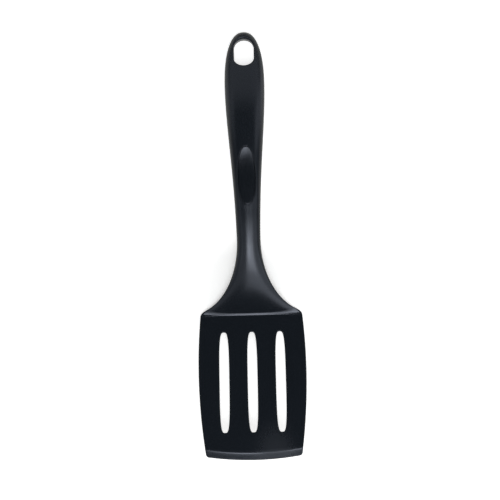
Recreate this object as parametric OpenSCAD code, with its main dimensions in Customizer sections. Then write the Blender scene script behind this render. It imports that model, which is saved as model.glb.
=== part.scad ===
// Slotted nylon turner, lying on a table on the heel of its blade and on its tail.
// The blade points to -Y and the tail to +Y. Lengths are in millimetres, along the tool from the heel.

/* [Blade] */
// Length of the blade from heel to lip, along the plate
blade_length = 108.7; // [90:0.1:130]
// Width of the blade where it is widest
blade_width = 81.2; // [72:0.1:95]
// Thickness of the blade plate
blade_thickness = 2.4; // [1.8:0.1:3.6]
// Angle of the blade above the table
blade_tilt = 14; // [8:0.5:20]
// Distance from the heel to the widest place, along the plate
blade_widest_at = 41; // [30:1:60]
// Radius of the bowed long sides
side_radius = 430; // [300:5:900]
// Radius of the curved front lip
lip_radius = 178; // [120:1:400]
// Radius of the two front corners
lip_corner = 2.5; // [1:0.1:6]
// Width of the thinned lip
lip_bevel = 4.6; // [2:0.1:8]
// Thickness left at the front edge
lip_edge = 0.9; // [0.5:0.1:1.6]

/* [Slots] */
// Number of drain slots
slot_count = 3; // [1:1:3]
// Distance between neighbouring slots
slot_pitch = 21.2; // [14:0.1:24]
// Width of a slot at its middle
slot_width = 7.3; // [5:0.1:10]
// Length of a slot
slot_length = 75.6; // [40:0.1:80]
// Distance from the heel to the rear end of the slots, along the plate
slot_start = 13.5; // [11:0.1:20]
// Squareness of the slot ends, 2 for an ellipse
slot_power = 3.6; // [2:0.1:8]

/* [Neck] */
// Width of the neck at its narrowest
neck_width = 17.4; // [16:0.1:24]
// Thickness of the neck at its narrowest
neck_thickness = 9.5; // [8:0.1:12]
// Distance from the heel to the narrowest place
neck_at = 55; // [50:0.5:62]
// Length of the flare's ellipse along the tool
flare_length = 57.3; // [52:0.1:70]
// Reach of the flare's ellipse to each side
flare_reach = 46; // [36:0.5:60]
// Rounding of the two rear shoulders
shoulder_round = 6; // [2:0.5:10]
// Radius of the hollow bend between neck and blade
bend_radius = 8; // [4:0.5:12]

/* [Grip] */
// Distance from the heel to the seam between neck and grip
seam_at = 80; // [74:0.5:90]
// Length of the grip from the seam to the tail
grip_length = 135; // [128:0.5:150]
// Width of the grip where it is widest
grip_width = 29.6; // [27:0.1:36]
// Distance from the tail to the widest place
grip_widest_from_tail = 41.3; // [30:0.1:55]
// Thickness of the grip where it is thickest
grip_thickness = 15; // [14:0.1:20]
// Distance from the tail to the thickest place
grip_thickest_from_tail = 65; // [50:1:80]
// Thickness of the grip at the tail
tail_thickness = 11; // [9:0.1:14]
// Length over which the tail's end is rounded
tail_round = 7; // [4:0.5:10]
// Height of the arch under the neck above the table
arch_height = 12; // [6:0.5:16]
// Distance from the heel to the top of the arch
arch_at = 75; // [65:1:95]
// Wall of the two grip shells
shell_wall = 2.2; // [1.6:0.1:2.6]

/* [Thumb scoop] */
// Length of the thumb scoop
scoop_length = 43.4; // [30:0.1:48]
// Width of the thumb scoop
scoop_width = 13; // [10:0.1:15]
// Depth of the thumb scoop at its middle
scoop_depth = 2; // [1.5:0.1:2.4]
// Distance from the seam to the near end of the scoop
scoop_from_seam = 2.6; // [1.5:0.1:10]
// Thickness of the inlaid pad
pad_thickness = 1.2; // [0.8:0.1:1.4]
// Diameter of the pad's studs
stud_diameter = 3; // [2:0.1:4]

/* [Hanging hole] */
// Width of the hanging hole
hang_width = 15.2; // [10:0.1:18]
// Length of the hanging hole
hang_length = 21.1; // [16:0.1:26]
// Height of the flatter end of the hole
hang_dip = 5.8; // [3:0.1:8]
// Rim between the hole and the tail's end
hang_rim = 5.5; // [4:0.1:8]
// Wall of the collar round the hole
collar_wall = 1.6; // [1:0.1:2.2]

/* [Tang and pegs] */
// Length of the tang inside the grip
tang_length = 84; // [78:1:92]
// Width of the tang
tang_width = 11; // [8:0.1:13]
// Thickness of the tang
tang_thickness = 4; // [3:0.1:5]
// How far the tang lies below the parting of the grip
tang_drop = 0.8; // [0:0.1:1.2]
// Diameter of the shell pegs
peg_diameter = 4; // [3:0.1:5]
// Wall of the bosses round the pegs
boss_wall = 2; // [1.5:0.1:2.5]
// Distance from the seam to the first peg
peg_from_seam = 56; // [54:0.5:60]
// Distance between the two pegs
peg_pitch = 20; // [14:0.5:24]

/* [Fits] */
// Clearance between pieces that meet
fit = 0.1; // [0.05:0.01:0.2]

/* [Hidden] */
$fn = 48;

nylon = "#1b2024";
grip_nylon = "#20262a";
pad_black = "#15191c";

// Places along the tool
tail_at = seam_at + grip_length;
grip_from = seam_at + fit;
widest_at = tail_at - grip_widest_from_tail;
thickest_at = tail_at - grip_thickest_from_tail;
tail_lift = 0.7;
tail_contact = tail_at - tail_lift * tail_round;
plate_back = 0.6;
plate_front = plate_back - blade_length * cos(blade_tilt);
middle_y = (tail_at + plate_front) / 2;

// The plate's outline is drawn this far past both ends, then trimmed
outline_spare = 12;

// The plate as it is cut by upright planes, and the slopes that meet in the bend
root_thickness = blade_thickness / cos(blade_tilt);
blade_slope = -tan(blade_tilt);
flare_slope = 2 * arch_height / arch_at + (neck_thickness - root_thickness) * PI / 2 / neck_at;
bend_blend = bend_radius * pow(flare_slope - blade_slope, 2) / 2;
bend_reach = bend_blend / (flare_slope - blade_slope);

// How the neck's foot is sunk into the plate
foot_step = 0.3;
foot_sink = 0.8;
foot_reach = 1.5;
bend_from = -0.75 * bend_reach;
bend_to = 2 * bend_reach;

// Shape of the cross-sections
section_power = 2.4;
tail_power = 2.2;
tip_power = 2.5;
least_flat = 0.3;
heel_edge = 2;
tail_cap = 0.15;

// How finely the curved forms are cut into rows and points
side_points = 11;
side_rows = 30;
bend_rows = 8;
neck_rows = 19;
grip_rows = 16;
tail_rows = 10;
tang_rows = 12;
outline_points = 48;
ring_points = 180;
lip_points = 360;

// Thumb scoop
scoop_at = seam_at + scoop_from_seam + scoop_length / 2;
scoop_rise = (topside(scoop_at + scoop_length / 2) - topside(scoop_at - scoop_length / 2)) / scoop_length;
scoop_turn = atan(scoop_rise);
end_fall = topside(scoop_at)
    - (topside(scoop_at - scoop_length / 2) + topside(scoop_at + scoop_length / 2)) / 2;
side_fall = section_fall(scoop_at, scoop_width / 2);
scoop_sweep = pow(scoop_length / 2, 2) / 2 / (scoop_depth - end_fall);
scoop_hollow = pow(scoop_width / 2, 2) / 2 / (scoop_depth - side_fall);
pad_inset = 0.4;
stud_spread = scoop_length / 4;
stud_reach = 1.2;

// Hanging hole
hang_round_at = tail_at - hang_rim - hang_width / 2;
hang_dip_at = tail_at - hang_rim - hang_length + hang_dip;

// Hollow of the grip
mouth_length = 6;
hollow_from = seam_at + mouth_length;
hollow_to = hang_dip_at - hang_dip - collar_wall - shell_wall;
scoop_ease = 8;

// Tang and pegs
tang_root = 8;
tang_to = seam_at + tang_length;
peg_at = [seam_at + peg_from_seam, seam_at + peg_from_seam + peg_pitch];
boss_bite = 0.7;
socket_spare = 0.5;
socket_floor = [for (y = peg_at) underside(y) + shell_wall];
peg_foot = [for (floor = socket_floor) floor + socket_spare];
peg_seam = [for (y = peg_at) parting(y) + fit / 2];
peg_top = [for (y = peg_at) topside(y) - boss_bite * shell_wall];
boss_foot = [for (y = peg_at) underside(y) + boss_bite * shell_wall];
boss_seam = [for (y = peg_at) parting(y) - fit];

// A cutter reaches this far past what it cuts
past = 60;

function clamp01(t) = max(0, min(1, t));
function mix(a, b, t) = a + (b - a) * t;
// Half a cosine wave from 0 to 1
function ease(t) = (1 - cos(180 * clamp01(t))) / 2;
// Smaller of two values, with the corner between them rounded where they differ by less than r
function round_min(a, b, r) = min(a, b) - pow(max(r - abs(a - b), 0) / r, 2) * r / 4;
function round_max(a, b, r) = -round_min(-a, -b, r);
// Quarter of a superellipse: 1 at t = 0, falling to 0 at t = 1
function quarter(t, power) = pow(1 - pow(clamp01(t), power), 1 / power);
function spaced(from, to, count) = [for (i = [0 : count]) mix(from, to, i / count)];

// Half width of the blade at p along the plate: an arc on each side
function blade_side(p) =
    blade_width / 2 - side_radius + sqrt(pow(side_radius, 2) - pow(p - blade_widest_at, 2));
// Half width of the flare: a quarter ellipse that opens towards the blade
function flare_side(y) =
    neck_width / 2 + flare_reach * (1 - sqrt(1 - pow(clamp01((neck_at - y) / flare_length), 2)));
// Half width of the grip: half a cosine wave out from the neck, then a superellipse round the tail
function grip_side(y) =
    y < widest_at
        ? mix(neck_width, grip_width, ease((y - neck_at) / (widest_at - neck_at))) / 2
        : grip_width / 2
            * quarter((min(y, tail_at - tail_cap) - widest_at) / grip_widest_from_tail, tail_power);
function half_width(y) =
    y < neck_at
        ? round_min(flare_side(y), blade_side((plate_back - y) / cos(blade_tilt)), shoulder_round)
        : grip_side(y);

// Height of the underside: the blade's plane in front of the heel, a two-part arch behind it
function underside(y) =
    y < 0 ? blade_slope * y
    : y < arch_at ? arch_height * (1 - pow(1 - y / arch_at, 2))
    : arch_height * (1 - pow((y - arch_at) / (tail_contact - arch_at), 2));
// Thickness from the blade's root through the neck to the grip and the tail
function thickness(y) =
    y < neck_at ? mix(root_thickness, neck_thickness, sin(90 * clamp01(y / neck_at)))
    : y < thickest_at ? mix(neck_thickness, grip_thickness, ease((y - neck_at) / (thickest_at - neck_at)))
    : mix(grip_thickness, tail_thickness, ease((y - thickest_at) / (tail_at - thickest_at)));
function plate_top(y) = root_thickness + blade_slope * (y - plate_back);
function flare_top(y) = y < 0 ? root_thickness + flare_slope * y : underside(y) + thickness(y);
// Height of the upper side, with the bend between blade and neck rounded
function topside(y) = y < neck_at ? round_max(plate_top(y), flare_top(y), bend_blend) : flare_top(y);
function middle(y) = (underside(y) + topside(y)) / 2;
// The two grip shells meet along the middle, where the grip is widest
function parting(y) = middle(y);
function tang_middle(y) = parting(y) - tang_drop;
// Rounding of the tail's end, seen from the side
function tip(y) = quarter((min(y, tail_at - tail_cap) - tail_at + tail_round) / tail_round, tip_power);
// Half width of the flat middle of a section: none on the neck and grip, nearly all at the heel
function flat_half(y) =
    y < neck_at
        ? max(least_flat, half_width(y) - mix(heel_edge, neck_width / 2, ease(y / neck_at)))
        : least_flat;
// How far the upper side has fallen at x from the middle
function section_fall(y, x) =
    (topside(y) - middle(y))
        * (1 - quarter((x - flat_half(y)) / (half_width(y) - flat_half(y)), section_power));

// One closed section: a superellipse split along its middle by a flat of 2 * flat
function section(y, half, flat, low, high) = [
    for (side = [1, -1], i = [0 : side_points - 1])
        let (
            a = side * (180 * i / (side_points - 1) - 90),
            across = pow(cos(a), 2 / section_power),
            up = sign(sin(a)) * pow(abs(sin(a)), 2 / section_power)
        )
        [side * (flat + (half - flat) * across), y, mix(low, high, (1 + up) / 2)]
];

// A closed skin over equal sections, in triangles, with its two ends capped
module loft(sections) {
    count = len(sections[0]);
    last = len(sections) - 1;
    points = [for (ring = sections) each ring];
    skin = [
        for (i = [0 : last - 1], j = [0 : count - 1])
            let (
                a = i * count + j,
                b = i * count + (j + 1) % count,
                lean = j < count / 2
            )
            each lean
                ? [[a, b, b + count], [a, b + count, a + count]]
                : [[a, b, a + count], [b, b + count, a + count]]
    ];
    front_cap = [[for (j = [count - 1 : -1 : 0]) j]];
    back_cap = [[for (j = [0 : count - 1]) last * count + j]];
    polyhedron(points = points, faces = concat(skin, front_cap, back_cap), convexity = 6);
}

// A side view, drawn as [y, z] points, carried across the tool
module across(width) {
    rotate([90, 0, 90])
        translate([0, 0, -width / 2])
            linear_extrude(height = width) children();
}

module place() {
    translate([0, -middle_y, 0]) children();
}

// The frame of the plate: its rear lower edge lies on the table, and it rises to the front
module on_plate() {
    translate([0, plate_back, 0])
        rotate([-blade_tilt, 0, 0]) children();
}

module plate_outline() {
    sides = [
        for (p = spaced(-outline_spare, blade_length + outline_spare, side_rows))
            [half_width(plate_back - p * cos(blade_tilt)), -p]
    ];
    difference() {
        offset(r = lip_corner)
            offset(r = -lip_corner)
                intersection() {
                    polygon(concat(sides, [for (i = [len(sides) - 1 : -1 : 0]) [-sides[i][0], sides[i][1]]]));
                    translate([0, lip_radius - blade_length])
                        circle(r = lip_radius, $fn = lip_points);
                }
        translate([-past, 0])
            square(2 * past);
    }
}

module slot_outline() {
    polygon([
        for (i = [0 : outline_points - 1])
            let (a = 360 * i / outline_points)
            [
                slot_width / 2 * sign(cos(a)) * pow(abs(cos(a)), 2 / slot_power),
                slot_length / 2 * sign(sin(a)) * pow(abs(sin(a)), 2 / slot_power)
            ]
    ]);
}

module plate() {
    lip_centre = lip_radius - blade_length;
    on_plate()
        difference() {
            linear_extrude(height = blade_thickness)
                plate_outline();
            translate([0, lip_centre, 0])
                rotate_extrude($fn = lip_points)
                    polygon([
                        [lip_radius - lip_bevel, blade_thickness],
                        [lip_radius, lip_edge],
                        [lip_radius + past, lip_edge],
                        [lip_radius + past, blade_thickness + past],
                        [lip_radius - lip_bevel, blade_thickness + past]
                    ]);
        }
}

module slots() {
    on_plate()
        for (i = [0 : slot_count - 1])
            translate([(i - (slot_count - 1) / 2) * slot_pitch, -slot_start - slot_length / 2, -past])
                linear_extrude(height = 2 * past)
                    slot_outline();
}

// Flare and neck, from the foot that is sunk in the plate back to the seam
module neck() {
    rows = concat(
        [-bend_reach - foot_reach],
        spaced(bend_from, bend_to, bend_rows),
        [for (y = spaced(bend_to, seam_at, neck_rows)) if (y > bend_to) y]
    );
    loft([
        for (y = rows)
            let (
                step = foot_step * (1 - ease(y / neck_at)),
                sink = y < -bend_reach ? foot_sink : 0,
                half = half_width(y) - step
            )
            section(y, half, min(flat_half(y), half - heel_edge), underside(y) + step, topside(y) - sink)
    ]);
}

module tang_side(gap) {
    from = seam_at - tang_root;
    to = tang_to + gap;
    half = tang_thickness / 2 + gap;
    polygon(concat(
        [for (y = spaced(from, to, tang_rows)) [y, tang_middle(y) + half]],
        [for (y = spaced(to, from, tang_rows)) [y, tang_middle(y) - half]]
    ));
}

module tang(gap = 0) {
    across(tang_width + 2 * gap)
        tang_side(gap);
}

// The whole grip as one closed form
module grip_body() {
    rows = concat(
        spaced(grip_from, widest_at, grip_rows),
        [for (a = spaced(0, 90, tail_rows)) if (a > 0) mix(widest_at, tail_at, sin(a))]
    );
    loft([
        for (y = rows)
            let (half_thick = thickness(y) / 2 * tip(y))
            section(y, half_width(y), least_flat, middle(y) - half_thick, middle(y) + half_thick)
    ]);
}

// The room inside the grip, lower where the scoop dips into it
module grip_hollow() {
    loft([
        for (y = spaced(hollow_from, hollow_to, grip_rows))
            let (
                beyond = abs(y - scoop_at) - scoop_length / 2,
                dip = (scoop_depth + pad_thickness) * (1 - ease(beyond / scoop_ease))
            )
            section(
                y, half_width(y) - shell_wall, least_flat,
                underside(y) + shell_wall, topside(y) - shell_wall - dip
            )
    ]);
}

// Everything on one side of the parting, and half the clearance: 1 above, -1 below
module beyond_parting(side) {
    across(2 * past)
        polygon(concat(
            [[seam_at - past, parting(seam_at) - side * fit / 2]],
            [for (y = spaced(seam_at, tail_at, grip_rows)) [y, parting(y) - side * fit / 2]],
            [[tail_at + past, parting(tail_at) - side * fit / 2]],
            [[tail_at + past, side * past], [seam_at - past, side * past]]
        ));
}

// One upright rod for each peg
module rods(diameter, from, to) {
    for (i = [0 : len(peg_at) - 1])
        translate([0, peg_at[i], from[i]])
            cylinder(d = diameter, h = to[i] - from[i]);
}

module hang_outline(grow) {
    half = hang_width / 2 + grow;
    half_points = outline_points / 2;
    polygon(concat(
        [for (a = spaced(0, 180, half_points)) [half * cos(a), hang_round_at + half * sin(a)]],
        [for (a = spaced(180, 360, half_points)) [half * cos(a), hang_dip_at + (hang_dip + grow) * sin(a)]]
    ));
}

module hang_column(grow) {
    translate([0, 0, -past])
        linear_extrude(height = 2 * past)
            hang_outline(grow);
}

// The ring whose lower surface is the scoop, grown by the pad and its clearance
module scoop_ring(grow) {
    translate([0, scoop_at, topside(scoop_at) - scoop_depth])
        rotate([scoop_turn, 0, 0])
            translate([0, 0, scoop_sweep])
                rotate([0, 90, 0])
                    rotate_extrude($fn = ring_points)
                        translate([scoop_sweep - scoop_hollow, 0])
                            circle(r = scoop_hollow + grow);
}

module pad_column(grow) {
    translate([0, scoop_at, topside(scoop_at) - scoop_depth - grip_thickness / 2])
        linear_extrude(height = grip_thickness)
            polygon([
                for (i = [0 : outline_points - 1])
                    let (a = 360 * i / outline_points)
                    [
                        (scoop_width / 2 - pad_inset + grow) * cos(a),
                        (scoop_length / 2 - pad_inset + grow) * sin(a)
                    ]
            ]);
}

module pad_studs(gap) {
    for (side = [-1, 1])
        let (y = scoop_at + side * stud_spread, floor = scoop_floor(y) - pad_thickness)
        translate([0, y, floor - stud_reach])
            cylinder(d = stud_diameter + 2 * gap, h = stud_reach + pad_thickness / 2);
}
// Height of the scoop's surface along its middle
function scoop_floor(y) =
    topside(scoop_at) - scoop_depth + scoop_rise * (y - scoop_at) + pow(y - scoop_at, 2) / 2 / scoop_sweep;

module head() {
    color(nylon)
        place()
            difference() {
                union() {
                    plate();
                    neck();
                    tang();
                }
                slots();
                rods(peg_diameter + 2 * fit, peg_foot, peg_top);
            }
}

module grip_front_shell() {
    color(grip_nylon)
        place()
            difference() {
                union() {
                    difference() {
                        union() {
                            difference() {
                                grip_body();
                                beyond_parting(-1);
                                grip_hollow();
                            }
                            rods(peg_diameter + 2 * boss_wall, peg_seam, peg_top);
                        }
                        tang(fit);
                    }
                    intersection() {
                        grip_body();
                        hang_column(collar_wall);
                    }
                    rods(peg_diameter, peg_foot, peg_top);
                }
                hang_column(0);
                scoop_ring(0);
                intersection() {
                    scoop_ring(pad_thickness + fit);
                    pad_column(fit);
                }
                pad_studs(fit);
            }
}

module grip_back_shell() {
    color(grip_nylon)
        place()
            difference() {
                union() {
                    difference() {
                        grip_body();
                        beyond_parting(1);
                        grip_hollow();
                    }
                    rods(peg_diameter + 2 * boss_wall, boss_foot, boss_seam);
                }
                tang(fit);
                rods(peg_diameter + 2 * fit, socket_floor, peg_top);
                hang_column(collar_wall + fit);
            }
}

module thumb_pad() {
    color(pad_black)
        place()
            union() {
                difference() {
                    intersection() {
                        scoop_ring(pad_thickness);
                        pad_column(0);
                    }
                    scoop_ring(0);
                }
                pad_studs(0);
            }
}

head();
grip_front_shell();
grip_back_shell();
thumb_pad();
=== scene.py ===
import math

import bmesh
import bpy
import numpy as np
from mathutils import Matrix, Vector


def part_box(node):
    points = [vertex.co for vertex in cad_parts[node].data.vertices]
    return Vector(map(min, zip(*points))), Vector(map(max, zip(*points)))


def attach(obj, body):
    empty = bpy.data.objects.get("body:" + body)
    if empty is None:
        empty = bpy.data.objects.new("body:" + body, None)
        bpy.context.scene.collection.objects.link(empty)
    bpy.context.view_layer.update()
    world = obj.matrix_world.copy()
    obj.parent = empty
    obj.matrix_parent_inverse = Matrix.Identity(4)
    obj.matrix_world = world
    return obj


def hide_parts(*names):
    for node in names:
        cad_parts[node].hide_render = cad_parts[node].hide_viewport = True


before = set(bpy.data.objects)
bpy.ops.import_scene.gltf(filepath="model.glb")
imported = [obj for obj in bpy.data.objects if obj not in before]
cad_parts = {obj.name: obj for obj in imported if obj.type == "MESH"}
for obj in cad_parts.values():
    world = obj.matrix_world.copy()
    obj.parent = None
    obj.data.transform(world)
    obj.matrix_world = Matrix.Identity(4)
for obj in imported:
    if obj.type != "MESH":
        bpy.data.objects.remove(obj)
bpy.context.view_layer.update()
mm = 0.001
headLow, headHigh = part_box("head")
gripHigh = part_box("grip_front_shell")[1]
print("frame loaded:", len(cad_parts), "solids")

# lines that all the pieces share, in mm; y counts from the heel of the blade towards the tail
tool = {
    "seam": 79.5,             # where the neck meets the grip
    "gripLength": 134.5,
    "gap": 0.1,               # between pieces that meet
    "neckAt": 55.0,           # narrowest place
    "neckWidth": 17.7,
    "neckThick": 9.5,
    "archHeight": 12.0,       # under the neck
    "archAt": 75.0,
    "sectionPower": 2.4,      # squareness of the cross-sections
    "leastFlat": 0.3,
}
tailAt = tool["seam"] + tool["gripLength"]
middleY = tailAt - gripHigh.y / mm    # y of the frame's origin


# t kept between 0 and 1
def clamp01(t):
    return np.clip(t, 0.0, 1.0)


# straight from a to b as t goes from 0 to 1
def mix(a, b, t):
    return a + (b - a) * t


# half a cosine wave from 0 to 1
def ease(t):
    return 0.5 - 0.5 * np.cos(np.pi * clamp01(t))


# the smaller of two values, with the corner between them rounded where they differ by less than r
def roundMin(a, b, r):
    return np.minimum(a, b) - (np.maximum(r - np.abs(a - b), 0.0) / r) ** 2 * r / 4


# the larger of two values, rounded in the same way
def roundMax(a, b, r):
    return -roundMin(-a, -b, r)


# a quarter of a superellipse: 1 at t = 0, falling to 0 at t = 1
def quarter(t, power):
    return (1.0 - clamp01(t) ** power) ** (1.0 / power)


# part of a circle's rise: 0 at t = 0, 1 at t = 1, upright at the start
def bulge(t):
    return np.sqrt(1.0 - (1.0 - clamp01(t)) ** 2)


# corners of every cell of a grid of rows x cols points, closed round the columns if it wraps
def gridFaces(rows, cols, wraps):
    index = np.arange(rows * cols).reshape(rows, cols)
    if wraps:
        index = np.concatenate([index, index[:, :1]], axis=1)
    corners = [index[:-1, :-1], index[:-1, 1:], index[1:, 1:], index[1:, :-1]]
    return np.stack(corners, axis=-1).reshape(-1, 4)


weldWithin = 0.002            # mm
shedBelow = 0.0005            # mm, edges shorter than this go


# one piece from grids of points in mm: the grids' shared edges are welded and the faces turned outwards
def makePiece(name, grids, sharpAngle=38.0):
    points = np.concatenate([g.reshape(-1, 3) for g, _ in grids])
    points = (points - np.array([0.0, middleY, 0.0])) * mm
    starts = np.cumsum([0] + [g.shape[0] * g.shape[1] for g, _ in grids[:-1]])
    faces = np.concatenate([gridFaces(*g.shape[:2], w) + s for (g, w), s in zip(grids, starts)])
    mesh = bpy.data.meshes.new(name)
    mesh.from_pydata(points.tolist(), [], faces.tolist())
    shape = bmesh.new()
    shape.from_mesh(mesh)
    bmesh.ops.remove_doubles(shape, verts=shape.verts, dist=weldWithin * mm)
    bmesh.ops.dissolve_degenerate(shape, dist=shedBelow * mm, edges=shape.edges)
    bmesh.ops.recalc_face_normals(shape, faces=shape.faces)
    if shape.calc_volume(signed=True) < 0:
        bmesh.ops.reverse_faces(shape, faces=shape.faces)
    openEdges = sum(1 for e in shape.edges if len(e.link_faces) != 2)
    shape.to_mesh(mesh)
    shape.free()
    mesh.polygons.foreach_set("use_smooth", np.ones(len(mesh.polygons), bool))
    mesh.set_sharp_from_angle(angle=math.radians(sharpAngle))
    piece = bpy.data.objects.new(name, mesh)
    bpy.context.scene.collection.objects.link(piece)
    print(f"{name}: {len(mesh.polygons)} faces, {openEdges} open edges")
    return piece


# head: blade, flare and neck, and the tang that runs back inside the grip
blade = {
    "length": 109.7,          # heel to lip, along the plate
    "width": (headHigh.x - headLow.x) / mm,
    "thick": 2.4,
    "tilt": math.radians(13.5),
    "back": 0.6,              # the plate's rear edge behind the heel line
    "widestAt": 41.0,
    "sideRadius": 430.0,
    "edge": 0.6,              # run of the rounded long edges
    "lipRadius": 225.0,
    "lipCorner": 1.8,
    "lipBevel": 5.2,          # from the edge back to the step
    "lipEdge": 0.9,           # thickness of the edge
    "stepRun": 0.6,           # small sloping step where the thinned lip starts
    "stepDrop": 0.155,
    "stepRound": 0.25,        # the step's rows start and end this far past it
    "stepCrest": 0.12,        # rounding over the step
    "stepHollow": 0.08,       # and below it
    "lipMiddle": 2.5,         # a row half-way down the lip
    "lipFall": 0.47,          # from the step to the edge
}
slots = {
    "pitch": 21.2,
    "width": 7.3,
    "length": 75.2,
    "start": 14.2,            # from the heel
    "power": 3.6,             # squareness of their outline
    "endsAt": 0.92,           # share of the half length where a side gives way to an end
    "margin": 4.0,            # plate kept round the slots' zone
    "rim": 0.5,               # rounding of the slots' edges
    "endSteps": 18,           # faces across each end
    "sideSteps": 36,          # faces along each side
}
flare = {
    "from": 58.1,             # where it starts to widen
    "length": 56.8,
    "reach": 38.3,
    "steepest": 0.94,         # from this share of its length on it goes straight out
    "shoulder": 4.6,          # rounding of the rear shoulders
    "bend": 3.5,              # radius of the hollow bend at the middle
    "bendGrows": 3.0,         # share by which it is larger at the sides
    "crownPower": 2.2,        # squareness of its crowned upper side
    "edgeFrom": -3.0,         # from here the plate's thin edge grows into the crown
    "edgeGrows": 36.0,
    "leanFrom": -7.5,         # the sections lean with the plate here, and stand upright further back
    "leanOver": 13.5,
    "bendRows": (12.0, -4.5),      # the rows lie closer together between these
    "plateRows": (-5.5, -6.8),     # and wider apart on the plate
}
tang = {
    "length": 84.0,
    "width": 11.0,
    "thick": 4.0,
    "drop": 0.8,              # below the parting
    "edge": 0.5,
    "clear": 0.15,            # room round it in the grip: above and below,
    "sideClear": 1.6,         # beside it
    "endClear": 1.5,          # and behind it
}

sinTilt, cosTilt, tanTilt = math.sin(blade["tilt"]), math.cos(blade["tilt"]), math.tan(blade["tilt"])
rootThick = blade["thick"] / cosTilt
flareSlope = 2 * tool["archHeight"] / tool["archAt"]
flareSlope += (tool["neckThick"] - rootThick) * math.pi / 2 / tool["neckAt"]
bendBlend = flare["bend"] * (flareSlope + tanTilt) ** 2 / 2

grip = {
    "width": 29.9,
    "widestFromTail": 41.3,
    "lead": 0.35,             # how soon it widens behind the neck
    "hollow": 1.7,            # how slender it stays half-way
    "thick": 15.0,
    "thickestFromTail": 65.0,
    "tailThick": 11.0,
    "tailRound": 7.0,
    "tailLift": 0.7,          # the tail touches the table this share of its rounding before its end
    "tailPower": 2.35,
    "tipPower": 2.5,
    "wall": 2.2,
    "groove": 0.22,           # depth of the fine groove along the parting
    "grooveRise": 0.4,
    "grooveTurns": (0.35, 0.8, 1.3, 1.9, 3.0),   # degrees round the section of the points that follow it
    "innerDraw": (1.0, 3.0),  # heights between which the inner face leaves the groove
    "joinBend": 1.0,          # how far the row where the tail starts bends back from its ends
    "roundTurn": math.radians(65.0),   # turn of the round section over which a skin's rows are spread
    "edgePower": 10,          # how soon that stops away from the sides
    "mouth": 6.0,             # solid ring at the seam
}
widestAt = tailAt - grip["widestFromTail"]
thickestAt = tailAt - grip["thickestFromTail"]
tailContact = tailAt - grip["tailLift"] * grip["tailRound"]


# half width of the blade at p along the plate: an arc on each side
def bladeSide(p):
    r = blade["sideRadius"]
    return blade["width"] / 2 - r + np.sqrt(r * r - (p - blade["widestAt"]) ** 2)


# half width at y: a skewed wave from the neck to the widest place, a superellipse round the tail,
# and in front of the neck a quarter ellipse added on and drawn out straight, up to the blade's bowed side
def halfWidth(y):
    t = np.minimum((y - tool["neckAt"]) / (widestAt - tool["neckAt"]), 1.0)
    along = t * t * (3 - 2 * t) + (grip["lead"] * t - grip["hollow"] * t * t) * (1 - t) ** 2
    along = np.where(t < 0, grip["lead"] * t, along)
    side = mix(tool["neckWidth"], grip["width"], along) / 2
    out = np.maximum((flare["from"] - y) / flare["length"], 0.0)
    most = flare["steepest"]
    curved = np.minimum(out, most)
    straight = (out - curved) * most / math.sqrt(1 - most * most)
    flareSide = side + flare["reach"] * (1 - np.sqrt(1 - curved * curved) + straight)
    front = roundMin(flareSide, bladeSide((blade["back"] - y) / cosTilt), flare["shoulder"])
    tailSide = grip["width"] / 2 * quarter((y - widestAt) / grip["widestFromTail"], grip["tailPower"])
    return np.where(y < flare["from"], front, np.where(y < widestAt, side, tailSide))


# height of the underside: the blade's plane, then a parabola up to the arch and another down to the tail
def underside(y):
    rise = 1 - (y - blade["back"]) / (tool["archAt"] - blade["back"])
    fall = (y - tool["archAt"]) / (tailContact - tool["archAt"])
    arch = tool["archHeight"] * (1 - np.where(y < tool["archAt"], rise, fall) ** 2)
    return np.where(y < blade["back"], (blade["back"] - y) * tanTilt, arch)


# thickness from the blade's root through the neck to the grip and the tail
def thickness(y):
    root = mix(rootThick, tool["neckThick"], np.sin(np.pi / 2 * clamp01(y / tool["neckAt"])))
    swell = ease((y - tool["neckAt"]) / (thickestAt - tool["neckAt"]))
    thin = ease((y - thickestAt) / (tailAt - thickestAt))
    body = mix(mix(tool["neckThick"], grip["thick"], swell), grip["tailThick"], thin)
    return np.where(y < tool["neckAt"], root, body)


# height of the upper side: the blade's plane and the flare, with the bend between them rounded
def topside(y):
    plateTop = rootThick - tanTilt * (y - blade["back"])
    flareTop = np.where(y < blade["back"], rootThick + flareSlope * y, underside(y) + thickness(y))
    return np.where(y < tool["neckAt"], roundMax(plateTop, flareTop, bendBlend), flareTop)


# half-way between the underside and the upper side, where the grip parts
def middle(y):
    return (underside(y) + topside(y)) / 2


# plate coordinates (across x, along p from the heel, up t) turned into the tool's x, y, z
def onPlate(x, p, t):
    x, p, t = np.broadcast_arrays(x, p, t)
    return np.stack([x, blade["back"] - p * cosTilt + t * sinTilt, p * sinTilt + t * cosTilt], axis=-1)


# a ring's columns: share of the flat, share of the rounded edge, and height from -1 to 1
def ringColumns(flatShares, edgeSteps=14):
    power = 2 / tool["sectionPower"]
    a = np.linspace(0, np.pi / 2, edgeSteps + 1)
    across, up = np.cos(a) ** power, np.sin(a) ** power
    across[-1] = 0.0
    inner = flatShares[1:-1]
    one = np.ones(edgeSteps + 1)
    flat = np.concatenate([-one, inner, one, one[1:], inner[::-1], -one[:-1]])
    edge = np.concatenate([-across, 0 * inner, across[::-1], across[1:], 0 * inner, -across[::-1][:-1]])
    rise = np.concatenate([up, 0 * inner + 1, up[::-1], -up[1:], 0 * inner - 1, -up[::-1][:-1]])
    return flat, edge, rise


# shares of the flat at which the three cells round the slots start and end, with even steps between
def flatShares(flatHalf):
    steps = slots["endSteps"]
    cuts = np.array([-1.0, -slots["pitch"] / 2 / flatHalf, slots["pitch"] / 2 / flatHalf, 1.0])
    return np.interp(np.linspace(0, 3, 3 * steps + 1), np.arange(4), cuts)


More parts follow.
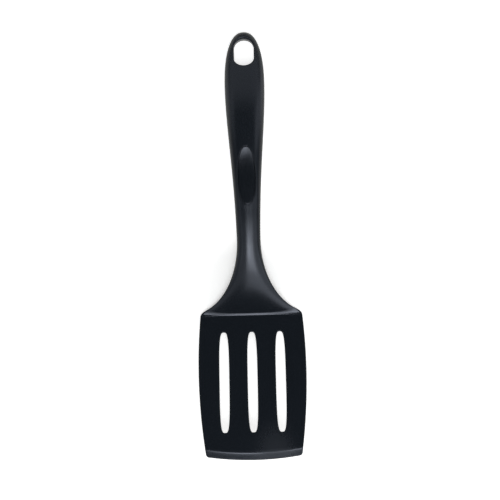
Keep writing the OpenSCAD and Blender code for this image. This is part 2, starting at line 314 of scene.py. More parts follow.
# the tang: a plain bar along the parting of the grip, its end closed to a line
def tangGrid(columns, rows=40):
    flat, edge, rise = columns
    y = np.linspace(tool["seam"] + tang["length"], tool["seam"], rows)
    y = np.append(y[:1], y)
    halfThick = np.full_like(y, tang["thick"] / 2)
    halfThick[0] = 0.0
    x = (tang["width"] / 2 - tang["edge"]) * flat + tang["edge"] * edge
    z = (middle(y) - tang["drop"])[:, None] + np.outer(halfThick, rise)
    return np.stack(np.broadcast_arrays(x[None, :], y[:, None], z), axis=-1)


# top of the neck and flare: a superellipse across, thin at its edges
def crownedTop(x, y):
    half = halfWidth(y)
    up = quarter((np.abs(x) - tool["leastFlat"]) / (half - tool["leastFlat"]), flare["crownPower"])
    ahead = rootThick + flareSlope * y
    high = np.where(y < blade["back"], ahead, underside(y) + thickness(y))
    return underside(y) + (high - underside(y)) * (1 + up) / 2


# sections from the seam through the neck and the flare to the plate; they lean over with the plate, and
# each one's upper side is the higher of the crowned flare and the flat plate, with the corner rounded
def neckGrid(rearP, columns, neckSteps=60, bendSteps=50, rounds=10):
    flat, edge, rise = columns
    rearY = blade["back"] - rearP * cosTilt
    bendFrom, bendTo = flare["bendRows"]
    y = np.concatenate([
        np.linspace(tool["seam"], bendFrom, neckSteps)[:-1],
        np.linspace(bendFrom, bendTo, bendSteps),
        flare["plateRows"],
        [rearY],
    ])
    lean = blade["tilt"] * (1 - ease((y - flare["leanFrom"]) / flare["leanOver"]))
    half = halfWidth(y)
    run = mix(blade["edge"], half - tool["leastFlat"], ease((y - flare["edgeFrom"]) / flare["edgeGrows"]))
    x = np.outer(half - run, flat) + np.outer(run, edge)
    y, lean, base = y[:, None], lean[:, None], underside(y)[:, None]
    flareT = np.zeros_like(x)
    for _ in range(rounds):                    # where each leaning column meets the crown
        flareT = (crownedTop(x, y + flareT * np.sin(lean)) - base) / np.cos(lean)
    plateT = (rootThick - tanTilt * (y - blade["back"]) - base) / (np.cos(lean) + tanTilt * np.sin(lean))
    plateT = np.where(plateT > 0, plateT * (1 + rise) / 2, plateT)
    blend = bendBlend * (1 + flare["bendGrows"] * (2 * x / blade["width"]) ** 4)
    t = roundMax(plateT, flareT, blend)
    t = np.where(rise < 0, t[:, :1] * (1 + rise), t)      # the underside
    return np.stack([x, y + t * np.sin(lean), base + t * np.cos(lean)], axis=-1)


# the rounded long edges beside the slots, one strip on each side
def edgeStrips(rowsP, edgeSteps=14):
    flat, edge, rise = ringColumns(np.array([-1.0, 1.0]), edgeSteps)
    flatHalf = bladeSide(rowsP) - blade["edge"]
    x = np.outer(flatHalf, flat) + blade["edge"] * edge
    t = blade["thick"] * (1 + rise) / 2
    ring = onPlate(x, rowsP[:, None], t[None, :])
    right = ring[:, edgeSteps + 1:3 * edgeSteps + 2]
    left = np.concatenate([ring[:, 3 * edgeSteps + 2:], ring[:, :edgeSteps + 1]], axis=1)
    return left, right


# outline of one slot as unit shares: a superellipse cut into a rear end, a side, a front end and a side
def slotLoop():
    n, endSteps, sideSteps = slots["power"], slots["endSteps"], slots["sideSteps"]
    cornerY = slots["endsAt"]
    cornerX = (1 - cornerY ** n) ** (1 / n)
    ends = cornerX * np.sin(np.pi / 2 * np.linspace(-1, 1, endSteps + 1))[:-1]
    sides = cornerY * np.sin(np.pi / 2 * np.linspace(-1, 1, sideSteps + 1))[:-1]
    endY = quarter(np.abs(ends), n)
    sideX = quarter(np.abs(sides), n)
    x = np.concatenate([ends, sideX, -ends, -sideX])
    y = np.concatenate([-endY, sides, endY, -sides])
    return x, y, sides / cornerY


# grids round one slot: top and bottom of its cell of the plate, and its rounded wall
def slotGrids(k, rearP, frontP, rowsP, sharesRear, sharesFront, rimSteps=5, faceSteps=4):
    steps = slots["endSteps"]
    x, y, _ = slotLoop()
    centreX = (k - 1) * slots["pitch"]
    centreP = slots["start"] + slots["length"] / 2
    flatSide = bladeSide(rowsP) - blade["edge"]
    leftX = -flatSide if k == 0 else 0 * rowsP + centreX - slots["pitch"] / 2
    rightX = flatSide if k == 2 else 0 * rowsP + centreX + slots["pitch"] / 2
    span = slice(k * steps, (k + 1) * steps + 1)
    rearX = sharesRear[span] * flatSide[0]
    frontX = sharesFront[span] * flatSide[-1]
    cellX = np.concatenate([rearX[:-1], rightX[:-1], frontX[::-1][:-1], leftX[::-1][:-1]])
    cellP = np.concatenate([0 * rearX[:-1] + rearP, rowsP[:-1], 0 * frontX[:-1] + frontP, rowsP[::-1][:-1]])
    n = slots["power"]
    nx = np.sign(x) * np.abs(x) ** (n - 1) / slots["width"]
    ny = np.sign(y) * np.abs(y) ** (n - 1) / slots["length"]
    size = np.hypot(nx, ny)
    nx, ny = nx / size, ny / size
    a = np.linspace(0, np.pi / 2, rimSteps + 1)
    rim, thick = slots["rim"], blade["thick"]
    outset = np.concatenate([rim * (1 - np.sin(a)), rim * (1 - np.cos(a))])
    height = np.concatenate([thick - rim * (1 - np.cos(a)), rim * (1 - np.sin(a))])
    wallX = centreX + slots["width"] / 2 * x + np.outer(outset, nx)
    wallP = centreP + slots["length"] / 2 * y + np.outer(outset, ny)
    s = np.linspace(0, 1, faceSteps + 1)[:, None]
    faceX = mix(cellX, wallX[0], s)
    faceP = mix(cellP, wallP[0], s)
    return [
        (onPlate(faceX, faceP, thick), True),
        (onPlate(faceX, faceP, 0.0), True),
        (onPlate(wallX, wallP, height[:, None]), True),
    ]


# the front of the plate: rows that bend into the lip's arc, a small step, the thinned lip and its round edge
def lipGrid(frontP, columns, bowSteps=5, stepRows=15, edgeRows=15, rounds=6):
    flat, edge, rise = columns
    bevel, corner, lipEdge = blade["lipBevel"], blade["lipCorner"], blade["lipEdge"]
    foot = bevel - blade["stepRun"]
    stepD = np.linspace(bevel + blade["stepRound"], foot - blade["stepRound"], stepRows)
    edgeD = corner * (1 - np.sin(np.linspace(0, np.pi / 2, edgeRows)))
    d = np.concatenate([np.full(bowSteps, stepD[0]), stepD, [blade["lipMiddle"]], edgeD])
    share = np.concatenate([np.linspace(0, 1, bowSteps + 1)[:-1], np.ones(len(d) - bowSteps)])
    stepTop = blade["thick"] - blade["stepDrop"] * (bevel - d) / blade["stepRun"]
    lipTop = blade["thick"] - blade["stepDrop"] - blade["lipFall"] * (foot - d) / foot
    crest = roundMin(stepTop, np.full_like(d, blade["thick"]), blade["stepCrest"])
    top = roundMax(crest, lipTop, blade["stepHollow"])
    top = np.where(d >= stepD[0], blade["thick"], top)
    bottom = (blade["thick"] - blade["stepDrop"] - blade["lipFall"] - lipEdge) * clamp01(1 - d / foot)
    centre = bottom + lipEdge / 2
    swell = bulge(d / (lipEdge / 2))
    high = mix(centre, top, swell)
    low = mix(centre, bottom, swell)

    # p of the arc that lies d behind the lip
    def arcP(x, d):
        return blade["length"] - blade["lipRadius"] + np.sqrt((blade["lipRadius"] - d) ** 2 - x * x)

    cut = corner - np.sqrt(corner ** 2 - np.maximum(corner - d, 0) ** 2)
    half = bladeSide(np.full_like(d, frontP))
    for _ in range(rounds):                    # where each row meets the bowed side
        sideP = mix(frontP, arcP(half, d), share)
        half = bladeSide(sideP) - np.where(share < 1, 0, cut)
    x = np.outer(half - blade["edge"], flat) + blade["edge"] * edge
    p = mix(frontP, arcP(x, d[:, None]), share[:, None])
    t = low[:, None] + np.outer(high - low, (1 + rise) / 2)
    return onPlate(x, p, t)


# the head: one closed run of rings for tang and neck, the long edges, the cells round the slots, and the lip
def makeHead():
    rearP = slots["start"] - slots["margin"]
    frontP = slots["start"] + slots["length"] + slots["margin"]
    along = slotLoop()[2]
    rowsP = mix(rearP, frontP, (np.append(along, 1.0) + 1) / 2)
    sharesRear = flatShares(bladeSide(rearP) - blade["edge"])
    sharesFront = flatShares(bladeSide(frontP) - blade["edge"])
    columns = ringColumns(sharesRear)
    grids = [(np.concatenate([tangGrid(columns), neckGrid(rearP, columns)]), True)]
    grids += [(strip, False) for strip in edgeStrips(rowsP)]
    for k in range(3):
        grids += slotGrids(k, rearP, frontP, rowsP, sharesRear, sharesFront)
    grids.append((lipGrid(frontP, ringColumns(sharesFront)), True))
    return makePiece("bladeAndNeck", grids)


head = makeHead()

# thumb scoop and its inlay
scoop = {
    "length": 44.2,
    "width": 13.8,
    "fromSeam": 3.0,
    "rim": 0.35,              # rounding of the shell's edge
    "power": 2.2,             # squareness of its outline
    "step": 0.35,             # the inlay lies this far below the shell at its ends
    "fall": 1.25,             # how fast the floor falls towards the tail, per half length
    "riseFrom": -0.1,         # from this share of the half length it rises to the tail end
    "sideShare": 0.50,        # share of that depth kept at the sides
    "deepest": 1.2,           # its deepest place, as a share of its fall
    "easeRun": 8.0,           # past its ends the roof of the room inside rises over this length
    "bodyFrom": 6.0,          # the shell's plain rows start this far behind it
    "gap": 0.1,
    "seat": 0.05,             # between the inlay and its pocket's floor
    "padThick": 1.2,
    "padRim": 0.25,
}
scoopAt = tool["seam"] + scoop["fromSeam"] + scoop["length"] / 2

# hanging hole: a half circle at the tail, a flatter half ellipse at the other end
hangHole = {
    "width": 15.0,
    "length": 20.7,
    "dip": 5.8,
    "tailRim": 5.9,
    "rim": 0.7,               # rounding of its edges
    "tailEdge": (2.0, 3.4),   # at the tail end the upper edge is rounded more, across and down
    "tailFoot": (1.0, 2.6),   # and the lower edge too
    "collar": 1.6,
    "collarFoot": 0.15,       # bevel of the collar's lower edge
}
holeRoundAt = tailAt - hangHole["tailRim"] - hangHole["width"] / 2
holeDipAt = tailAt - hangHole["tailRim"] - hangHole["length"] + hangHole["dip"]
holeMid = (holeRoundAt + holeDipAt) / 2
hollowFrom = tool["seam"] + grip["mouth"]
hollowTo = holeDipAt - hangHole["dip"] - hangHole["collar"] - grip["wall"]


# the tail's outline as a superellipse: how far out a point lies (1 on the outline), and the slope of that
def tailLevel(x, y):
    n, a, b = grip["tailPower"], grip["width"] / 2, grip["widestFromTail"]
    u, v = np.abs(x) / a, np.maximum(y - widestAt, 0.0) / b
    level = np.maximum((u ** n + v ** n) ** (1 / n), 1e-6)
    return level, np.sign(x) * (u / level) ** (n - 1) / a, (v / level) ** (n - 1) / b


# height of the grip's skin above or below its parting: a superellipse across the grip, and round the tail
# one square to the outline, whose reach goes from the half width at the sides to the tail's own rounding
def crown(x, y):
    half = np.maximum(halfWidth(y), 1e-6)
    across = np.abs(x) / half
    level, slopeX, slopeY = tailLevel(x, y)
    steep = np.maximum(np.hypot(slopeX, slopeY), 1e-9)
    sideways = (slopeX / steep) ** 2
    reach = mix(grip["tailRound"], grip["width"] / 2, sideways)
    inTail = y > widestAt
    out = np.where(inTail, 1 - (1 - level) / steep / reach, across)
    flat = tool["leastFlat"] / np.where(inTail, reach, np.maximum(half, 2 * tool["leastFlat"]))
    power = np.where(inTail, mix(grip["tipPower"], tool["sectionPower"], sideways), tool["sectionPower"])
    return thickness(y) / 2 * quarter((out - flat) / (1 - flat), power)


# height of the room inside the grip above or below its parting, lower under the scoop
def hollow(x, y, roof):
    inside = (y > hollowFrom) & (y < hollowTo)
    beyond = np.abs(y - scoopAt) - scoop["length"] / 2
    deepest = scoop["step"] + scoop["deepest"] * scoop["fall"] + scoop["padThick"]
    dip = deepest * (1 - ease(beyond / scoop["easeRun"])) if roof else 0.0
    half = np.maximum(halfWidth(y) - grip["wall"], 1e-6)
    room = (thickness(y) / 2 - grip["wall"] - dip) * quarter(np.abs(x) / half, tool["sectionPower"])
    drop = -tang["drop"] if roof else tang["drop"]
    channel = tang["thick"] / 2 + drop + tang["clear"]
    beside = np.abs(x) < tang["width"] / 2 + tang["sideClear"]
    before = y < tool["seam"] + tang["length"] + tang["endClear"]
    return np.maximum(np.where(inside, room, 0.0), np.where(beside & before, channel, 0.0))


# depth of the scoop below the grip's crown: it falls evenly towards the tail, then curves up again;
# across, a parabola makes it shallower at the sides
def scoopDepth(x, y):
    v = np.clip((y - scoopAt) / (scoop["length"] / 2), -1, 1)
    half = scoop["width"] / 2 * quarter(np.abs(v), scoop["power"])
    across = clamp01((x / np.maximum(half, 0.01)) ** 2)
    left = 1 - clamp01((v - scoop["riseFrom"]) / (1 - scoop["riseFrom"])) ** 2
    return scoop["step"] + scoop["fall"] * (1 + v) * left * (1 - (1 - scoop["sideShare"]) * across)


# distance from the hole's middle to its outline, grown by grow, in each direction
def holeRadius(angle, grow):
    c, s = np.cos(angle), np.sin(angle)
    half, dip = hangHole["width"] / 2 + grow, hangHole["dip"] + grow
    up, down = holeRoundAt - holeMid, holeDipAt - holeMid
    side = half / np.maximum(np.abs(c), 1e-9)
    circle = s * up + np.sqrt(np.maximum(half ** 2 - (up * c) ** 2, 0))
    a = (c / half) ** 2 + (s / dip) ** 2
    b = -2 * s * down / dip ** 2
    ellipse = (-b + np.sqrt(np.maximum(b * b - 4 * a * (down ** 2 / dip ** 2 - 1), 0))) / (2 * a)
    return np.where(side * s > up, circle, np.where(side * s < down, ellipse, side))


# across the grip at one y: x from left to right, close together at the two edges
def acrossRow(y, steps):
    a = np.linspace(0, np.pi / 2, steps // 2 + 1)
    a = np.sort(np.append(a, np.radians(grip["grooveTurns"])))
    x = np.cos(a) ** (2 / tool["sectionPower"])
    x[-1] = 0.0
    x = np.concatenate([-x, x[::-1][1:]])
    return np.stack([x * halfWidth(np.float64(y)), np.full(len(x), float(y))], axis=-1)


# the rows of a skin, from its edge at 0 to 1, the first few close together
def skinRows(steps, edgeRows=5, edgeTo=0.04, crowding=1.4, restFrom=0.07):
    nearEdge = edgeTo * np.linspace(0, 1, edgeRows) ** crowding
    return np.concatenate([nearEdge, np.linspace(restFrom, 1, steps)])


# points from an outer loop to an inner one; beside the grip's edge the steps follow its round section
def between(outer, inner, steps):
    s = skinRows(steps)[:, None]
    power = 2 / tool["sectionPower"]
    deep = grip["roundTurn"]
    round01 = (1 - np.cos(s * deep) ** power) / (1 - math.cos(deep) ** power)
    out = clamp01(np.abs(outer[:, 0]) / np.maximum(halfWidth(outer[:, 1]), 1e-6))
    edgeShare = out ** grip["edgePower"]
    edgeShare = np.where(outer[:, 1] > widestAt, 1.0, edgeShare)
    g = mix(s, round01, edgeShare)
    return outer[None] + (inner - outer)[None] * g[..., None]


# draws a skin in along its parting edge by a share of the groove, square to the outline
def grooved(plan, share, nudge=0.005):
    x, y = plan[..., 0], plan[..., 1]
    _, tailX, tailY = tailLevel(x, y)
    slope = (halfWidth(y + nudge) - halfWidth(y - nudge)) / (2 * nudge)
    inTail = y > widestAt
    normal = np.stack([np.where(inTail, tailX, np.sign(x)), np.where(inTail, tailY, -slope)], axis=-1)
    normal = normal / np.maximum(np.linalg.norm(normal, axis=-1, keepdims=True), 1e-9)
    return plan - normal * (grip["groove"] * share)[..., None]


# points of a plan with their heights
def lifted(plan, z):
    return np.concatenate([plan, np.broadcast_to(z, plan.shape[:-1])[..., None]], axis=-1)


# one shell of the grip, side 1 above the parting and -1 below it
def shellGrids(side, acrossSteps=36, alongSteps=52, tailSteps=110, bodyRows=30, skinSteps=(12, 14)):
    edgeGap = tool["gap"] / 2
    startY = tool["seam"] + tool["gap"]
    scoopEnd = scoopAt + scoop["length"] / 2 + scoop["bodyFrom"]
    scoopSteps, holeSteps = skinSteps

    # heights of the shell's outer skin and of its inner face
    def outerZ(plan):
        high = crown(plan[..., 0], plan[..., 1])
        left = 1 - 2 * edgeGap / thickness(plan[..., 1])
        return middle(plan[..., 1]) + side * (edgeGap + high * left)

    def innerZ(plan):
        height = np.maximum(hollow(plan[..., 0], plan[..., 1], side > 0), edgeGap)
        return middle(plan[..., 1]) + side * height

    # a pair of grids over one plan: the outer skin, whose edge curves into the groove, and the inner face
    def skins(plan):
        high = crown(plan[..., 0], plan[..., 1])
        leaveAt, leftAt = grip["innerDraw"]
        outer = grooved(plan, (1 - clamp01(high / grip["grooveRise"])) ** 2)
        inner = grooved(plan, 1 - clamp01((high - leaveAt) / (leftAt - leaveAt)))
        return lifted(outer, outerZ(plan)), lifted(inner, innerZ(plan))

    near = acrossRow(startY, acrossSteps)
    far = acrossRow(scoopEnd, acrossSteps)
    sideY = np.linspace(startY, scoopEnd, alongSteps + 1)
    right = np.stack([halfWidth(sideY), sideY], axis=-1)
    left = right * np.array([-1.0, 1.0])
    loop = np.concatenate([near[:-1], right[:-1], far[::-1][:-1], left[::-1][:-1]])
    centre = np.array([0.0, scoopAt])
    axes = np.array([scoop["width"] / 2, scoop["length"] / 2])
    unit = (loop - centre) / axes
    unit = unit / np.linalg.norm(unit, ord=scoop["power"], axis=1, keepdims=True)
    plan = between(loop, centre + unit * axes, scoopSteps)
    top, under = skins(plan)
    grids = [(top, True)]
    inward = lambda depth: centre + unit * (axes - depth)
    toCentre = np.linspace(1, 0, 5)[:, None, None]
    if side > 0:                               # pocket of the inlay
        rim = scoop["rim"]
        a = np.linspace(0, np.pi / 2, 7)
        rimPlan = np.stack([inward(rim * math.sin(t)) for t in a])
        rimZ = outerZ(rimPlan[:1]) - rim * (1 - np.cos(a))[:, None]
        floorPlan = centre + (rimPlan[-1] - centre) * toCentre
        floorZ = middle(floorPlan[..., 1]) + crown(floorPlan[..., 0], floorPlan[..., 1])
        floorZ = floorZ - scoopDepth(floorPlan[..., 0], floorPlan[..., 1]) - scoop["padThick"] - scoop["seat"]
        grids.append((lifted(rimPlan, rimZ), True))
        wallPlan = np.stack([rimPlan[-1], rimPlan[-1]])
        grids.append((lifted(wallPlan, np.stack([rimZ[-1], floorZ[0]])), True))
        grids.append((lifted(floorPlan, floorZ), True))
    else:
        fill = centre + (plan[-1] - centre) * toCentre
        grids.append((lifted(fill, outerZ(fill)), True))
    underFill = centre + (plan[-1] - centre) * toCentre
    grids += [(under, True), (lifted(underFill, innerZ(underFill)), True)]
    seamRow = np.stack([top[0, :len(near)], under[0, :len(near)]])
    grids.append((seamRow, False))

    # the row where the body meets the tail bends back from the two edges, so the groove's steps stay apart
    bodyY = np.linspace(scoopEnd, widestAt, bodyRows)
    join = acrossRow(widestAt, acrossSteps)
    fromEdge = np.arange(len(join))
    fromEdge = np.minimum(fromEdge, fromEdge[::-1])
    joinY = widestAt - grip["joinBend"] * clamp01(fromEdge / (len(grip["grooveTurns"]) + 1))
    join = np.stack([join[:, 0] * halfWidth(joinY) / halfWidth(np.float64(widestAt)), joinY], axis=-1)
    plan = np.stack([acrossRow(y, acrossSteps) for y in bodyY[:-1]] + [join])
    grids += [(skin, False) for skin in skins(plan)]

    # the tail: rays from its outline to the hanging hole, over the rim, down the wall and back inside
    a = np.linspace(0, np.pi, tailSteps + 1)
    turn = 2 / grip["tailPower"]
    outline = np.stack([
        np.sign(np.cos(a)) * np.abs(np.cos(a)) ** turn * grip["width"] / 2,
        widestAt + grip["widestFromTail"] * np.sin(a) ** turn,
    ], axis=-1)
    outline[0, 1] = outline[-1, 1] = widestAt
    loop = np.concatenate([join[:-1], outline[:-1]])
    centre = np.array([0.0, holeMid])
    angle = np.arctan2(loop[:, 1] - holeMid, loop[:, 0])
    way = np.stack([np.cos(angle), np.sin(angle)], axis=-1)
    ring = lambda grow: centre + way * holeRadius(angle, grow)[:, None]
    collar = hangHole["collar"]
    clear = collar + tool["gap"]
    open0 = 0.0 if side > 0 else clear
    tailward = ((1 + np.sin(angle)) / 2) ** 3 if side > 0 else 0 * angle
    rimWide, rimDeep = (mix(hangHole["rim"], edge, tailward) for edge in hangHole["tailEdge"])
    footWide, footDeep = (mix(hangHole["rim"], edge, tailward) for edge in hangHole["tailFoot"])
    a = np.linspace(0, np.pi / 2, 12)
    top = skins(between(loop, ring(open0 + rimWide), holeSteps))[0]
    rimPlan = np.stack([ring(open0 + rimWide * (1 - math.sin(t))) for t in a])
    rimZ = outerZ(rimPlan) - side * np.outer(1 - np.cos(a), rimDeep)
    profile = [top, lifted(rimPlan, rimZ)[1:]]
    if side > 0:
        bevel = hangHole["collarFoot"]
        footRings = [ring(footWide * (1 - math.cos(t))) for t in a]
        footPlan = np.stack(footRings + [ring(collar - bevel), ring(collar)])
        footLift = np.concatenate([np.outer(1 - np.sin(a), footDeep), np.outer([0.0, bevel], 0 * angle + 1)])
        footZ = middle(footPlan[..., 1]) - crown(footPlan[..., 0], footPlan[..., 1]) + footLift
        profile.append(lifted(footPlan, footZ))
        under = skins(between(loop, ring(collar), holeSteps))[1]
    else:
        under = skins(between(loop, ring(clear), holeSteps))[1]
    profile.append(under[::-1])
    grids.append((np.concatenate(profile), True))
    return grids


gripFront = makePiece("gripFront", shellGrids(1))
gripBack = makePiece("gripBack", shellGrids(-1))


# the inlay: a square grid drawn into a superellipse, dished, with a rounded rim
def makePad(acrossSteps=40, alongSteps=100):
    inset = scoop["rim"] + scoop["gap"]
    axes = np.array([scoop["width"] / 2 - inset, scoop["length"] / 2 - inset])
    u = np.sin(np.pi / 2 * np.linspace(-1, 1, acrossSteps + 1))[None, :]
    v = np.sin(np.pi / 2 * np.linspace(-1, 1, alongSteps + 1))[:, None]
    disc = np.stack([u * np.sqrt(1 - v * v / 2), v * np.sqrt(1 - u * u / 2)])
    reach = np.linalg.norm(disc, axis=0)
    disc = disc * reach / np.maximum(np.linalg.norm(disc, ord=scoop["power"], axis=0), 1e-9)
    x, y = axes[0] * disc[0], scoopAt + axes[1] * disc[1]
    rim = scoop["padRim"]
    topZ = middle(y) + crown(x, y) - scoopDepth(x, y)
    lowZ = topZ - scoop["padThick"]
    topZ = topZ - rim * (1 - bulge((1 - reach) * axes[0] / rim))
    top, low = np.stack([x, y, topZ], axis=-1), np.stack([x, y, lowZ], axis=-1)
    border = lambda g: np.concatenate([g[0, :-1], g[:-1, -1], g[-1, ::-1][:-1], g[::-1, 0][:-1]])
    wall = np.stack([border(top), border(low)])
    return makePiece("thumbInlay", [(top, False), (low, False), (wall, True)])


pad = makePad()

for piece, node, slotName in (
    (head, "head", "blade_nylon"),
    (gripFront, "grip_front_shell", "grip_nylon"),
    (gripBack, "grip_back_shell", "grip_nylon"),
    (pad, "thumb_pad", "pad_rubber"),
):
    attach(piece, "root")
    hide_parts(node)
print("pieces ride on the frame")


# a Principled material; returns its nodes' adder, its linker and its shader
def newMaterial(name):
    material = bpy.data.materials.new(name)
    material.use_nodes = True
    tree = material.node_tree
    shader = tree.nodes["Principled BSDF"]

    def add(kind, **values):
        node = tree.nodes.new(kind)
        for key, value in values.items():
            if key in node.inputs:
                node.inputs[key].default_value = value
            else:
                setattr(node, key, value)
        return node

    return material, add, tree.links.new, shader


# moulded nylon: faint flow clouds, a fine spark-eroded grain, hairline rubbing along the tool, a finish that
# goes from satin to matt towards the tail, and a scuffed patch by the lip
def nylon(name, look):
    material, add, link, shader = newMaterial(name)
    where = add("ShaderNodeTexCoord").outputs["Object"]
    shader.inputs["Specular IOR Level"].default_value = look["specular"]

    # value a of a field gives x, value b gives y, and so on between
    def ramp(field, a, b, x, y):
        node = add("ShaderNodeMapRange", interpolation_type="SMOOTHSTEP")
        for key, value in (("From Min", a), ("From Max", b), ("To Min", x), ("To Max", y)):
            node.inputs[key].default_value = value
        link(field, node.inputs["Value"])
        return node.outputs["Result"]

    def noise(place, scale, detail):
        node = add("ShaderNodeTexNoise", Scale=scale, Detail=detail)
        link(place, node.inputs["Vector"])
        return node.outputs["Fac"]

    def total(a, b, operation="ADD"):
        node = add("ShaderNodeMath", operation=operation)
        link(a, node.inputs[0])
        link(b, node.inputs[1])
        return node.outputs["Value"]

    tint = add("ShaderNodeMix", data_type="RGBA")
    tint.inputs[6].default_value = look["dark"] + (1,)      # sockets 6 and 7 are the two colours
    tint.inputs[7].default_value = look["light"] + (1,)
    link(noise(where, look["cloudScale"], 3.0), tint.inputs[0])
    link(tint.outputs[2], shader.inputs["Base Color"])

    axes = add("ShaderNodeSeparateXYZ")
    link(where, axes.inputs["Vector"])
    finish = ramp(axes.outputs["Y"], look["satinTo"], look["mattFrom"], look["satin"], look["matt"])
    stretch = add("ShaderNodeMapping", Scale=look["rubScale"])
    link(where, stretch.inputs["Vector"])
    hairlines = noise(stretch.outputs["Vector"], 1.0, 2.0)
    rubs = ramp(hairlines, 0.3, 0.7, -look["rub"], look["rub"])   # the noise lies mostly between 0.3 and 0.7
    rough = total(finish, rubs)
    if "scuffAt" in look:
        place = {"Location": look["scuffAt"], "Scale": look["scuffSize"]}
        spot = add("ShaderNodeMapping", vector_type="TEXTURE", **place)
        link(where, spot.inputs["Vector"])
        away = add("ShaderNodeVectorMath", operation="LENGTH")
        link(spot.outputs["Vector"], away.inputs[0])
        rough = total(rough, ramp(away.outputs["Value"], 0.1, 1.0, look["scuff"], 0.0))
    link(rough, shader.inputs["Roughness"])

    bump = add("ShaderNodeBump", Strength=look["grainStrength"], Distance=look["grainDepth"])
    link(noise(where, look["grainScale"], 2.0), bump.inputs["Height"])
    link(bump.outputs["Normal"], shader.inputs["Normal"])
    return material


satinNylon = nylon("satinNylon", {
    "dark": (0.0054, 0.0077, 0.0101),
    "light": (0.0070, 0.0097, 0.0126),
    "specular": 0.5,
    "satin": 0.185,
    "matt": 0.26,
    "satinTo": 0.035,         # metres from the middle of the tool
    "mattFrom": 0.095,
    "rub": 0.03,
    "rubScale": (2600.0, 130.0, 2600.0),
    "scuffAt": (0.016, -0.156, 0.026),
    "scuffSize": (0.022, 0.034, 0.03),
    "scuff": 0.17,
    "cloudScale": 45.0,
    "grainScale": 3000.0,
    "grainStrength": 0.06,
    "grainDepth": 0.00002,
})
inlayRubber = nylon("inlayRubber", {
    "dark": (0.0048, 0.0068, 0.0088),
    "light": (0.0062, 0.0086, 0.0110),
    "specular": 0.42,
    "satin": 0.18,
    "matt": 0.20,
    "satinTo": 0.035,
    "mattFrom": 0.095,
    "rub": 0.02,
    "rubScale": (900.0, 900.0, 900.0),
    "cloudScale": 80.0,
    "grainScale": 4200.0,
    "grainStrength": 0.03,
    "grainDepth": 0.00002,
})
for piece in (head, gripFront, gripBack):
    piece.data.materials.append(satinNylon)
pad.data.materials.append(inlayRubber)
print("finishes set")

# the photograph's view: almost straight down, a little from the right, the tool leaning in the picture
view = {
    "height": 0.85,           # metres above the table
    "aim": (0.00033, -0.0049),
    "side": math.radians(1.62),
    "lean": math.radians(1.6),
    "focalPixels": 1117.0,
    "imagePixels": 500.0,
    "sensor": 36.0,
}
cameraData = bpy.data.cameras.new("camera")
cameraData.sensor_width = view["sensor"]
cameraData.lens = view["focalPixels"] / view["imagePixels"] * view["sensor"]
camera = bpy.data.objects.new("camera", cameraData)
aside = view["height"] * math.tan(view["side"])
offX, offY = aside * math.cos(view["lean"]), -aside * math.sin(view["lean"])
camera.location = (view["aim"][0] + offX, view["aim"][1] + offY, view["height"])
camera.rotation_euler = (0.0, view["side"], -view["lean"])
bpy.context.scene.collection.objects.link(camera)
bpy.context.scene.camera = camera

# white table: it shows white to the camera and in gloss, keeps the tool's soft shadow, and has a painted
# shadow under the flare, where its glow is lowered
table = {
    "size": 6.0,              # metres
    "drop": 0.0002,
    "white": (0.93, 0.884, 0.772),      # neutral under the cool lamps
    "glow": 0.72,             # round the tool
    "farGlow": 1.0,
    "glowFrom": 0.3,          # metres from the tool over which the one turns into the other
    "glowTo": 1.1,
    "paintedShade": 0.30,            # painted shadow: less glow under the flare, where the tool is closest to the table
    "shadeAt": (-0.006, -0.034),
    "shadeFrom": 0.024,
    "shadeTo": 0.052,
    "inGloss": 0.4,
}
tableMesh = bpy.data.meshes.new("table")
corner = table["size"] / 2
tableMesh.from_pydata(
    [(-corner, -corner, -table["drop"]), (corner, -corner, -table["drop"]),
     (corner, corner, -table["drop"]), (-corner, corner, -table["drop"])],
    [], [(0, 1, 2, 3)],
)
floor = bpy.data.objects.new("table", tableMesh)
bpy.context.scene.collection.objects.link(floor)


# how much of its white the table shows: all of it to the camera and through glass, less in gloss
def tableSeen(tree):
    path = tree.nodes.new("ShaderNodeLightPath")
    gloss = tree.nodes.new("ShaderNodeMath")
    gloss.operation = "MULTIPLY"
    gloss.inputs[1].default_value = table["inGloss"]
    tree.links.new(path.outputs["Is Glossy Ray"], gloss.inputs[0])
    seen = gloss.outputs["Value"]
    for ray in ("Is Camera Ray", "Is Transmission Ray"):
        larger = tree.nodes.new("ShaderNodeMath")
        larger.operation = "MAXIMUM"
        tree.links.new(path.outputs[ray], larger.inputs[0])
        tree.links.new(seen, larger.inputs[1])
        seen = larger.outputs["Value"]
    return seen


white, add, link, shader = newMaterial("tableWhite")
shader.inputs["Base Color"].default_value = (*table["white"], 1)
shader.inputs["Roughness"].default_value = 1.0
shader.inputs["Specular IOR Level"].default_value = 0.0
shader.inputs["Emission Color"].default_value = (1, 1, 1, 1)
here = add("ShaderNodeTexCoord").outputs["Object"]


# goes from one value to another between two distances from a place on the table
def spread(place, near, far, low, high):
    away = add("ShaderNodeVectorMath", operation="DISTANCE")
    away.inputs[1].default_value = (*place, 0.0)
    link(here, away.inputs[0])
    node = add("ShaderNodeMapRange", interpolation_type="SMOOTHSTEP")
    for key, value in (("From Min", near), ("From Max", far), ("To Min", low), ("To Max", high)):
        node.inputs[key].default_value = value
    link(away.outputs["Value"], node.inputs["Value"])
    return node.outputs["Result"]
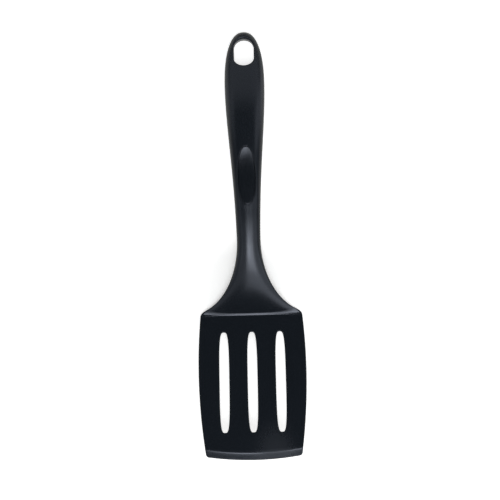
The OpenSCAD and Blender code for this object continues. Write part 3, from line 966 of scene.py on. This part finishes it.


# the glow, less a painted shadow in a disc under the flare
shown = add("ShaderNodeMath", operation="SUBTRACT")
link(spread((0, 0), table["glowFrom"], table["glowTo"], table["glow"], table["farGlow"]), shown.inputs[0])
link(spread(table["shadeAt"], table["shadeFrom"], table["shadeTo"], table["paintedShade"], 0.0), shown.inputs[1])
glow = add("ShaderNodeMath", operation="MULTIPLY")
link(shown.outputs["Value"], glow.inputs[0])
link(tableSeen(white.node_tree), glow.inputs[1])
link(glow.outputs["Value"], shader.inputs["Emission Strength"])
faces = add("ShaderNodeMixShader")        # clear from below, so that the underside of the tool can be seen
link(add("ShaderNodeNewGeometry").outputs["Backfacing"], faces.inputs[0])
link(shader.outputs["BSDF"], faces.inputs[1])
link(add("ShaderNodeBsdfTransparent").outputs["BSDF"], faces.inputs[2])
link(faces.outputs["Shader"], white.node_tree.nodes["Material Output"].inputs["Surface"])
tableMesh.materials.append(white)

# the room: pale low down all round the tool, dark overhead, white where the camera sees past the table
room = {"low": 0.62, "high": 0.05, "lowZ": 0.10, "highZ": 0.54, "white": 1.0}
world = bpy.data.worlds.new("room")
bpy.context.scene.world = world
world.use_nodes = True
roomNodes, roomLink = world.node_tree.nodes, world.node_tree.links.new
sky = roomNodes.new("ShaderNodeTexCoord")
axes = roomNodes.new("ShaderNodeSeparateXYZ")
roomLink(sky.outputs["Generated"], axes.inputs["Vector"])
level = roomNodes.new("ShaderNodeMapRange")
level.interpolation_type = "SMOOTHSTEP"
level.inputs["From Min"].default_value = room["lowZ"]
level.inputs["From Max"].default_value = room["highZ"]
level.inputs["To Min"].default_value = room["low"]
level.inputs["To Max"].default_value = room["high"]
roomLink(axes.outputs["Z"], level.inputs["Value"])
path = roomNodes.new("ShaderNodeLightPath")
seen = roomNodes.new("ShaderNodeMapRange")
seen.inputs["To Max"].default_value = room["white"]
roomLink(path.outputs["Is Camera Ray"], seen.inputs["Value"])
roomLink(level.outputs["Result"], seen.inputs["To Min"])
roomLink(seen.outputs["Result"], roomNodes["Background"].inputs["Strength"])
roomNodes["Background"].inputs["Color"].default_value = (1, 1, 1, 1)

# soft boxes: place in metres, size, power in watts, and whether each hangs level or faces the tool
lamps = {
    "keyBox": {"at": (-0.04, -0.37, 1.20), "size": (0.20, 0.40), "power": 1.48, "level": True},
    "wideBox": {"at": (0.10, -0.47, 1.20), "size": (0.45, 0.64), "power": 3.40, "level": True},
    "frontBox": {"at": (0.1875, -0.69, 1.20), "size": (0.625, 1.18), "power": 3.71, "level": True},
    "fillBox": {"at": (-0.515, -0.60, 1.20), "size": (0.78, 1.00), "power": 1.20, "level": True},
    "leftBox": {"at": (-1.15, -0.35, 0.85), "size": (0.70, 1.10), "power": 0.90, "level": False},
    "sideBox": {"at": (1.00, -0.61, 1.08), "size": (1.10, 1.10), "power": 3.45, "level": True},
    "tailBox": {"at": (0.0, 1.05, 1.05), "size": (2.40, 0.80), "power": 2.90, "level": False},
    "edgeBox": {"at": (1.25, -0.55, 0.65), "size": (0.60, 0.55), "power": 1.20, "level": False},
    "rightBox": {"at": (1.25, 0.55, 0.65), "size": (0.60, 2.00), "power": 2.60, "level": False},
    "backBox": {"at": (-1.25, 0.60, 0.65), "size": (0.60, 1.50), "power": 1.08, "level": False},
}
coolDaylight = (0.90, 0.97, 1.13)
for name, box in lamps.items():
    lampData = bpy.data.lights.new(name, "AREA")
    lampData.shape = "RECTANGLE"
    lampData.size, lampData.size_y = box["size"]
    lampData.energy = box["power"]
    lampData.color = coolDaylight
    lamp = bpy.data.objects.new(name, lampData)
    lamp.location = box["at"]
    if not box["level"]:
        lamp.rotation_euler = (-lamp.location).to_track_quat("-Z", "Y").to_euler()
    bpy.context.scene.collection.objects.link(lamp)
bpy.context.scene.view_settings.view_transform = "Standard"
print("light and camera set")
